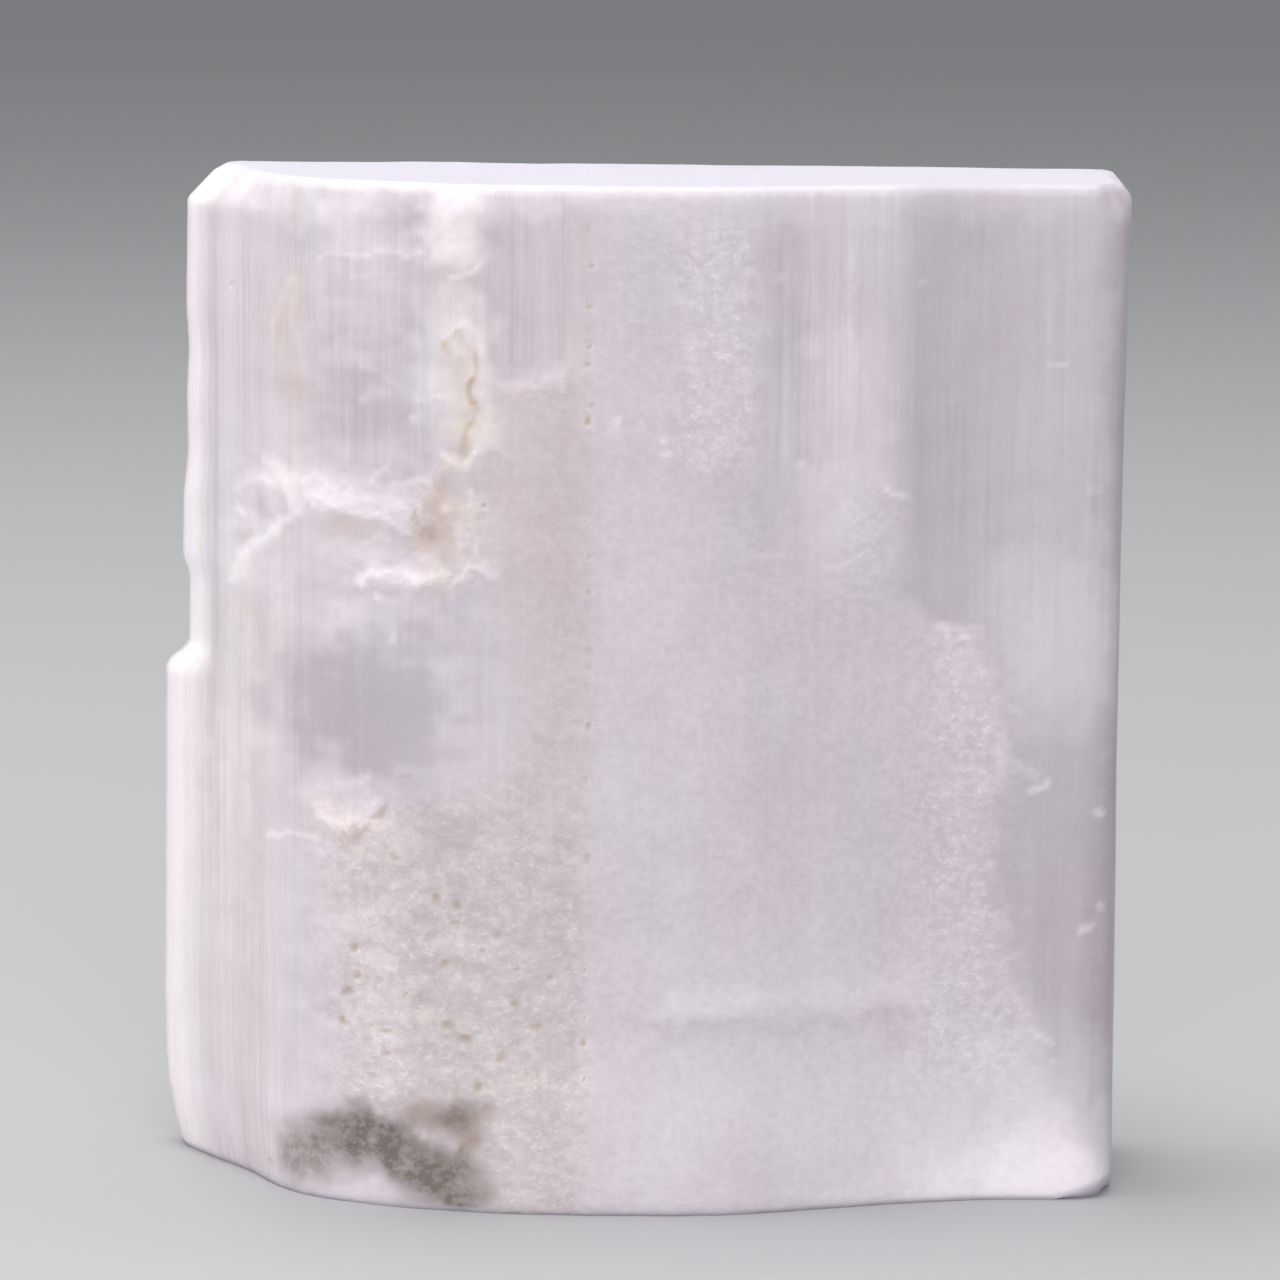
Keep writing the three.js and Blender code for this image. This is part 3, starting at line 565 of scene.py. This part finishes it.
def fold(x, z):
    left, right = FOLD["left"], FOLD["right"]
    within = ramp(left - 0.8, left + 0.8, x) * ramp(right + 2, right - 2, x)
    above = z - FOLD["z"] + 0.15 * noise(x / 1.7, 0, 52)
    curl = FOLD["curl"] * ramp(2.2, 0.2, above) * ramp(-0.3, 0.1, above)
    sunk = FOLD["depth"] * ramp(0.2, -0.4, above) * ramp(-7, -2, above)
    return within * (curl - sunk)


def splinter_level(i, z):
    """One splinter's level: each breaks off at its own height and carries on at another level."""
    end = HEIGHT * (0.5 + 0.42 * hashed(i, 0, 43))
    above = ramp(-1.5, 1.5, z - end)
    return hashed(i, 1, 44) * (1 - above) + hashed(i, 2, 44) * above


def splinters(distance, z):
    """Long splinters side by side on the back, mm inward."""
    u = distance / SPLINTER["width"] + SPLINTER["waver"] * noise(distance / 3, z / 17, 42)
    i = np.floor(u)
    z = z + SPLINTER["ragged"] * noise(distance / 1.8, z / 4, 45)
    following = ramp(1 - SPLINTER["edge"], 1, u - i)
    level = splinter_level(i, z) * (1 - following) + splinter_level(i + 1, z) * following
    return -SPLINTER["depth"] * (0.5 - 0.5 * level)


def sideways(x, z):
    """How far a point of the left or the right side lies in from the plan, mm towards +X."""
    profile = (read(LEFT_PROFILE, z - 0.3) + read(LEFT_PROFILE, z) + read(LEFT_PROFILE, z + 0.3)) / 3
    corner = LEFT_CHAMFER["slope"] * np.maximum(0, z - LEFT_CHAMFER["start"]) + read(LEFT_FOOT, z)
    left = profile * ramp(-21.4, -24.3, x) + corner * ramp(-16.5, -24.0, x)
    right = RIGHT_TAPER * (1 - z / HEIGHT) * ramp(20, 24, x)
    return left - right


def foot_lift(x, y, z):
    """How far the front right corner of the foot rises off the floor, mm."""
    corner = ramp(FOOT_LIFT["back"], FOOT_LIFT["front"], y) * ramp(FOOT_LIFT["reach"], 0, z)
    return FOOT_LIFT["slope"] * np.maximum(0, x - FOOT_LIFT["left"]) * corner


def edge_wear(x, y, z):
    """How far the worn and chipped edges cut in at one place, mm."""
    top_rim = TOP_RIM_WEAR * np.clip((z - HEIGHT + RIM) / RIM, 0, 1)
    foot_rim = FOOT_RIM_WEAR * np.clip((RIM - z) / RIM, 0, 1)
    right = RIGHT_CHAMFER["slope"] * np.maximum(0, z - RIGHT_CHAMFER["start"]) * ramp(23.6, 24.8, x)
    away = np.hypot(x - TOP_CHIP["x"], y - TOP_CHIP["y"]) / TOP_CHIP["radius"]
    chip = TOP_CHIP["slope"] * np.maximum(0, z - HEIGHT + TOP_CHIP["reach"]) * ramp(1, 0.3, away)
    return np.maximum.reduce([top_rim, foot_rim, right, chip])


def boxes(x, z, table):
    """Soft-edged rectangles added up."""
    total = 0
    for left, right, foot, top, soft, amount in table:
        inside = ramp(left - soft, left + soft, x) * ramp(right + soft, right - soft, x)
        inside = inside * ramp(foot - soft, foot + soft, z) * ramp(top + soft, top - soft, z)
        total = total + amount * inside
    return total


def stains(x, z):
    """Rust and the dark of dirt and painted shade along the stains, without the pale flakes that lie
    in them.
    """
    rust, dirt_and_shade = 0, 0
    patch = 0.95 + 0.3 * noise(x / 0.9, z / 0.7, 72)
    speck = 0.75 + 0.5 * noise(x / 0.5, z / 0.45, 78)
    x, z = bend(x, z, 0.38, 73)
    for half, line_rust, line_dirt_and_shade, points in STAINS:
        near = patch * ramp(1.6, 0.2, line_distance(x, z, points) / half)
        rust = np.maximum(rust, speck * line_rust * near)
        dirt_and_shade = dirt_and_shade + (1 - dirt_and_shade) * line_dirt_and_shade * near
    bare = 1
    for half, points in PALE:
        bare = bare * (1 - 0.75 * ramp(1.5, 0.3, line_distance(x, z, points) / half))
    return rust * bare, dirt_and_shade * bare


def rind(x, z):
    """The flaky skin left of the ridge, which holds the iron stain."""
    shake = 0.8 * noise(x / 1.6, z / 1.6, 71)
    return ramp(-1.2, 1.2, x + shake - read(RIND_LEFT, z)) * ramp(0.5, -0.9, x - RIDGE_X)


def low_rind(x, z):
    """The lower part of the rind, which is grittier and more pitted."""
    return rind(x, z) * ramp(34, 10, z)


def crumbly(x, z):
    return np.clip(boxes(x, z, CRUMBLY) + 0.6 * low_rind(x, z), 0, 1)


def fibres(distance, z):
    """Flutes, threads and the slow swell of the surface, each between -1 and 1."""
    flute = noise(distance / FLUTE["pitch"], z / FLUTE["length"], 21)
    thread = noise(distance / THREAD["pitch"], z / THREAD["length"], 23)
    swell = noise(distance / SWELL["across"], z / SWELL["along"], 22)
    return flute, thread, swell


def facing_front(distance):
    return ramp(0.05, 0.4, -outward(distance)[..., 1])


def front_relief(x, z):
    """How far the front stands out from the fluted plan, mm."""
    crumbs = layered(x, z, CRUMBS) * crumbly(x, z)
    grain = GRAIN["height"] * noise(x / GRAIN["size"], z / GRAIN["size"], 31)
    broken = scars(x, z)[0] + lips(x, z)[0] - PIT["depth"] * pits(x, z)
    return broken + lumps(x, z) + fold(x, z) + crumbs + grain


def side_points(distance, z, inset=0.0):
    """Points of the side surface, or inset from it, mm."""
    base = round_plan(distance)
    normal = outward(distance)
    x, y = base[..., 0], base[..., 1]
    front = facing_front(distance)
    flute, thread, swell = fibres(distance, z)
    push = SWELL["height"] * swell
    push = push + flute * (FLUTE["front"] * front + FLUTE["back"] * (1 - front))
    push = push + thread * (THREAD["front"] * front + THREAD["back"] * (1 - front))
    push = push + front * front_relief(x, z)
    push = push + ramp(0.3, 0.9, normal[..., 1]) * splinters(distance, z)
    push = push - edge_wear(x, y, z) - inset
    point = base + normal * push[..., None] - CENTRE
    return np.stack([point[..., 0] + sideways(x, z), point[..., 1], z + foot_lift(x, y, z)], -1)


def banded_strip(x):
    """The strip along the left edge where the fibres show as pale bands, 0 to 1."""
    return ramp(-15.5, -19.5, x)


def whiteness(x, z, distance):
    """How white the skin of the front is: clouds, veils, bands and the parts in the table, with
    painted light and shade among them and a painted rim light along the left edge.
    """
    flute, thread, _ = fibres(distance, z)
    strip = banded_strip(x)
    left = ramp(-6, -9, x)
    band = layered(distance, z, BANDS)
    cloud = layered(x, z, CLOUDS)
    veil = layered(x, z, VEILS)
    milk_and_light = PLAIN_MILK + boxes(*bend(x, z, 0.7, 81), MILK_AND_LIGHT) + lips(x, z)[1]
    milk_and_light = milk_and_light + LEFT_RIM_LIGHT["milk_and_light"] * ramp(LEFT_RIM_LIGHT["from"], LEFT_RIM_LIGHT["to"], x)
    milk_and_light = milk_and_light + (0.04 + 0.02 * left) * cloud + (0.015 + 0.12 * left * (1 - strip)) * veil
    milk_and_light = milk_and_light + 0.07 * low_rind(x, z) * layered(x, z, GRIT)
    return milk_and_light + 0.03 * (0.6 * flute + 0.4 * thread) + 0.08 * strip * band


def side_masks(distance, z):
    """The masks of the colours: how white with its painted light and shade, warm, rusty, dark with
    dirt and painted shade, clear, flaky, gritty and sawn it is.
    """
    x = round_plan(distance)[..., 0]
    front = facing_front(distance)
    flute, thread, swell = fibres(distance, z)
    strip = banded_strip(x)
    clear = scars(x, z)[1]
    skin = rind(x, z)
    pit = pits(x, z)
    rust, dirt_and_shade = stains(x, z)
    window = np.maximum(ramp(12.0, 14.0, x) * clear, boxes(*bend(x, z, 0.7, 81), WINDOWS))
    cream = noise(x / 2.6, z / 3.8, 85)
    stripes = strip * np.maximum(0, noise(distance / 0.85, z / 45, 91))
    warmth = 0.7 * skin * (1 + 0.4 * cream) + boxes(*bend(x, z, 0.45, 81), WARMTH) + 0.7 * stripes
    bare = 0.55 * strip + 0.3 * clear + boxes(*bend(x, z, 0.7, 83), FIBROUS)
    flaky = 0.6 + 0.5 * crumbly(x, z) - bare
    other = 0.34 + 0.12 * flute + 0.08 * thread + 0.1 * swell
    return {
        "milk_and_light": front * whiteness(x, z, distance) + (1 - front) * other,
        "warmth": front * warmth,
        "rust": front * np.maximum(rust, PIT["rust"] * pit),
        # Dark marks: dirt, painted shade under the ledges and over the foot, and the pits painted
        # darker
        "dirt_and_shade": front * (dirt_and_shade + (1 - dirt_and_shade) * PIT["dark"] * pit),
        "clear": front * window + (1 - front) * 0.35,
        "flaky": front * np.clip(flaky, 0, 1),
        "skin": front * low_rind(x, z),
        "sawn": ramp(HEIGHT - 0.5 * RIM, HEIGHT, z) + ramp(0.5 * RIM, 0, z),
    }


def grid():
    """Distances round the plan and heights, as two flat arrays of the grid's lines."""
    ends = [start for start, _ in COLUMN_STEPS[1:]] + [PERIMETER]
    columns = []
    for (start, step), end in zip(COLUMN_STEPS, ends):
        columns.append(np.linspace(start, end, round((end - start) / step), endpoint=False))
    rows = np.linspace(RIM, HEIGHT - RIM, round((HEIGHT - 2 * RIM) / ROW_STEP))
    return np.concatenate(columns), np.concatenate([[0], rows, [HEIGHT]])


def crystal_points():
    """Rings of points up the sides, between the flat edges of the foot and of the top."""
    distances, heights = grid()
    across, up = np.meshgrid(distances, heights)
    foot = side_points(across[:1], up[:1], CUT_INSET) * (1, 1, 0)
    top = side_points(across[-1:], up[-1:], CUT_INSET)
    rings = np.concatenate([foot, side_points(across, up), top])
    spread = {}
    for name, mask in side_masks(across, up).items():
        mask = np.broadcast_to(mask, up.shape)
        cut = CUT_FACE.get(name, 0.0)
        spread[name] = np.pad(mask, ((1, 1), (0, 0)), constant_values=cut)
    return rings, spread


def crystal_mesh():
    rings, masks = crystal_points()
    rows, columns = rings.shape[:2]
    points = rings.reshape(-1, 3) * MM
    index = np.arange(rows * columns).reshape(rows, columns)
    beside = np.roll(index, -1, axis=1)
    quads = np.stack([index[:-1], beside[:-1], beside[1:], index[1:]], -1).reshape(-1, 4)
    cuts = [index[0, ::-1].tolist(), index[-1].tolist()]
    mesh = bpy.data.meshes.new("crystal")
    mesh.from_pydata(points.tolist(), [], quads.tolist() + cuts)
    for name, mask in masks.items():
        attribute = mesh.attributes.new(name, "FLOAT", "POINT")
        attribute.data.foreach_set("value", np.clip(mask.ravel(), 0, 1).astype(np.float32))
    mesh.shade_smooth()
    return mesh


class Nodes:
    """Short calls for the nodes of one material."""

    def __init__(self, name):
        self.material = bpy.data.materials.new(name)
        self.material.use_nodes = True
        self.tree = self.material.node_tree
        self.shader = self.tree.nodes["Principled BSDF"]

    def link(self, source, target):
        self.tree.links.new(source, target)

    def put(self, value, socket):
        if isinstance(value, bpy.types.NodeSocket):
            self.link(value, socket)
        else:
            socket.default_value = value

    def attribute(self, name):
        node = self.tree.nodes.new("ShaderNodeAttribute")
        node.attribute_name = name
        return node.outputs["Fac"]

    def place(self, scale):
        """The object's coordinates in mm, times scale along each axis."""
        coordinates = self.tree.nodes.new("ShaderNodeTexCoord")
        scaled = self.tree.nodes.new("ShaderNodeVectorMath")
        scaled.operation = "MULTIPLY"
        self.link(coordinates.outputs["Object"], scaled.inputs[0])
        scaled.inputs[1].default_value = [s / MM for s in scale]
        return scaled.outputs["Vector"]

    def noise(self, scale, detail=2.0, roughness=0.5):
        node = self.tree.nodes.new("ShaderNodeTexNoise")
        self.link(self.place(scale), node.inputs["Vector"])
        node.inputs["Scale"].default_value = 1.0
        node.inputs["Detail"].default_value = detail
        node.inputs["Roughness"].default_value = roughness
        return node.outputs["Fac"]

    def math(self, operation, a, b=0.0):
        node = self.tree.nodes.new("ShaderNodeMath")
        node.operation = operation
        self.put(a, node.inputs[0])
        self.put(b, node.inputs[1])
        return node.outputs["Value"]

    def times(self, a, b):
        return self.math("MULTIPLY", a, b)

    def plus(self, a, b):
        return self.math("ADD", a, b)

    def ramp(self, value, low, high, to_low=0.0, to_high=1.0):
        """value from low..high to to_low..to_high, smoothly and held at the ends."""
        node = self.tree.nodes.new("ShaderNodeMapRange")
        node.interpolation_type = "SMOOTHSTEP"
        self.put(value, node.inputs["Value"])
        node.inputs["From Min"].default_value = low
        node.inputs["From Max"].default_value = high
        node.inputs["To Min"].default_value = to_low
        node.inputs["To Max"].default_value = to_high
        return node.outputs["Result"]

    def mix(self, factor, a, b, blend="MIX"):
        node = self.tree.nodes.new("ShaderNodeMix")
        node.data_type = "RGBA"
        node.blend_type = blend
        self.put(factor, node.inputs["Factor"])
        self.put(a, node.inputs["A"])
        self.put(b, node.inputs["B"])
        return node.outputs["Result"]


def curled_flakes(n, flecks):
    """Thin bright arcs, broken up by the flecks."""
    twisted = n.noise((1.5, 1.5, 2.2), detail=1.0, roughness=0.6)
    arcs = n.ramp(n.math("ABSOLUTE", n.plus(twisted, -0.5)), 0.03, 0.0)
    return n.times(arcs, n.ramp(flecks, 0.45, 0.6))


# Small pores of the gritty skin, which are painted a little darker
def pores(n, skin):
    grains = n.noise((1.7, 1.7, 3.6), detail=1.0, roughness=0.6)
    return n.times(n.ramp(grains, 0.38, 0.28), skin)


def mottling(n, flecks, arcs, flaky):
    """What the flecks and the curled flakes add to the whiteness."""
    mottle = n.times(n.ramp(flecks, 0.3, 0.7, -0.5, 0.5), n.ramp(flaky, 0.2, 1.0, 0.04, 0.22))
    return n.plus(mottle, n.times(arcs, n.ramp(flaky, 0.6, 1.0, 0.03, 0.32)))


def pale_tint(n, mask, white):
    """Grey to white, with the slow change of hue, the warm skin and the cool clear parts."""
    tint = n.mix(white, GREY, WHITE)
    hue = n.mix(n.ramp(n.noise((0.16, 0.16, 0.09), detail=1.0), 0.35, 0.65), ROSY, GLAUCOUS)
    tint = n.mix(1.0, tint, hue, "MULTIPLY")
    tint = n.mix(mask["warmth"], tint, n.mix(1.0, tint, WARM, "MULTIPLY"))
    return n.mix(mask["clear"], tint, n.mix(1.0, tint, COOL, "MULTIPLY"))


def covered_tint(n, mask, tint, flecks, holes):
    """The tint under its rust and under its dark of dirt and painted shade, with the pores painted a
    little darker, and the plainer one of the sawn faces.
    """
    tint = n.mix(n.times(mask["rust"], n.ramp(flecks, 0.3, 0.6, 0.6, 1.0)), tint, RUST)
    darkening = n.math("MAXIMUM", mask["dirt_and_shade"], n.times(holes, 0.12))
    tint = n.mix(n.times(darkening, n.ramp(flecks, 0.35, 0.6, 0.9, 1.25)), tint, DIRT_AND_SHADE)
    return n.mix(n.times(mask["sawn"], 0.8), tint, SAWN)


def set_surface(n, clear):
    rough = n.ramp(clear, 0.0, 1.0, ROUGHNESS["milky"], ROUGHNESS["clear"])
    n.link(rough, n.shader.inputs["Roughness"])
    n.link(n.times(clear, TRANSMISSION), n.shader.inputs["Transmission Weight"])
    n.shader.inputs["IOR"].default_value = IOR
    n.shader.subsurface_method = "BURLEY"
    n.shader.inputs["Subsurface Weight"].default_value = 1.0
    n.shader.inputs["Subsurface Radius"].default_value = SCATTER["radius"]
    n.shader.inputs["Subsurface Scale"].default_value = SCATTER["scale"] * MM


def set_bump(n, height):
    bump = n.tree.nodes.new("ShaderNodeBump")
    bump.inputs["Distance"].default_value = MM
    bump.inputs["Strength"].default_value = BUMP["strength"]
    n.link(height, bump.inputs["Height"])
    n.link(bump.outputs["Normal"], n.shader.inputs["Normal"])


def selenite():
    n = Nodes("selenite")
    names = ("milk_and_light", "warmth", "rust", "dirt_and_shade", "clear", "flaky", "skin", "sawn")
    mask = {name: n.attribute(name) for name in names}
    threads = n.noise((2.7, 2.7, 0.07), roughness=0.7)
    combed = n.ramp(n.noise((0.35, 0.35, 0.11), detail=1.0), 0.25, 0.55, 0.35, 1.0)
    flecks = n.noise((2.0, 2.0, 2.7), detail=3.0, roughness=0.65)
    arcs = curled_flakes(n, flecks)
    holes = pores(n, mask["skin"])
    fine = n.ramp(mask["flaky"], 0.0, 0.6, 0.50, 0.12)
    streaks = n.times(n.plus(threads, -0.5), n.times(combed, fine))
    mottle = mottling(n, flecks, arcs, mask["flaky"])
    tint = pale_tint(n, mask, n.plus(mask["milk_and_light"], n.plus(streaks, mottle)))
    n.link(covered_tint(n, mask, tint, flecks, holes), n.shader.inputs["Base Color"])
    set_surface(n, mask["clear"])
    height = n.times(threads, n.times(fine, BUMP["threads"]))
    height = n.plus(height, n.times(n.times(flecks, mask["flaky"]), BUMP["flecks"]))
    set_bump(n, height)
    return n.material


def add_crystal():
    crystal = bpy.data.objects.new("crystal_blade_skin", crystal_mesh())
    bpy.context.collection.objects.link(crystal)
    crystal.data.materials.append(selenite())
    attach(crystal, "root")
    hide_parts("crystal_blade")


def add_floor():
    sides, radius = FLOOR["sides"], FLOOR["radius"]
    angles = [2 * math.pi * i / sides for i in range(sides)]
    ring = [(radius * math.cos(a), radius * math.sin(a), 0) for a in angles]
    mesh = bpy.data.meshes.new("floor")
    mesh.from_pydata(ring, [], [list(range(sides))])
    n = Nodes("floor")
    n.shader.inputs["Base Color"].default_value = FLOOR["colour"]
    n.shader.inputs["Roughness"].default_value = FLOOR["roughness"]
    mesh.materials.append(n.material)
    floor = bpy.data.objects.new("floor", mesh)
    bpy.context.collection.objects.link(floor)


def add_camera():
    data = bpy.data.cameras.new("camera")
    data.sensor_width = SENSOR
    data.lens = FOCAL_PIXELS / IMAGE_SIDE * SENSOR
    data.clip_start = 0.01
    camera = bpy.data.objects.new("camera", data)
    bpy.context.collection.objects.link(camera)
    tilt = Matrix.Rotation(math.radians(90 - CAMERA_DOWN), 4, "X")
    roll = Matrix.Rotation(math.radians(CAMERA_ROLL), 4, "Z")
    camera.matrix_world = Matrix.Translation(Vector(CAMERA_AT) * MM) @ tilt @ roll
    bpy.context.scene.camera = camera


def add_light(name, at, size, power):
    """A square soft light at a place in metres, aimed at the crystal's middle."""
    data = bpy.data.lights.new(name, "AREA")
    data.size = size
    data.energy = power
    light = bpy.data.objects.new(name, data)
    bpy.context.collection.objects.link(light)
    aim = Vector((0, 0, HEIGHT / 2 * MM)) - Vector(at)
    light.matrix_world = Matrix.Translation(at) @ aim.to_track_quat("-Z", "Y").to_matrix().to_4x4()


def add_lights():
    for name, (at, size, power) in LIGHTS.items():
        add_light(name, at, size, power)
    world = bpy.data.worlds.new("studio")
    world.use_nodes = True
    background = world.node_tree.nodes["Background"]
    background.inputs["Color"].default_value = SKY["colour"]
    background.inputs["Strength"].default_value = SKY["strength"]
    bpy.context.scene.world = world


add_crystal()
add_floor()
add_camera()
add_lights()
bpy.context.scene.view_settings.view_transform = "Standard"
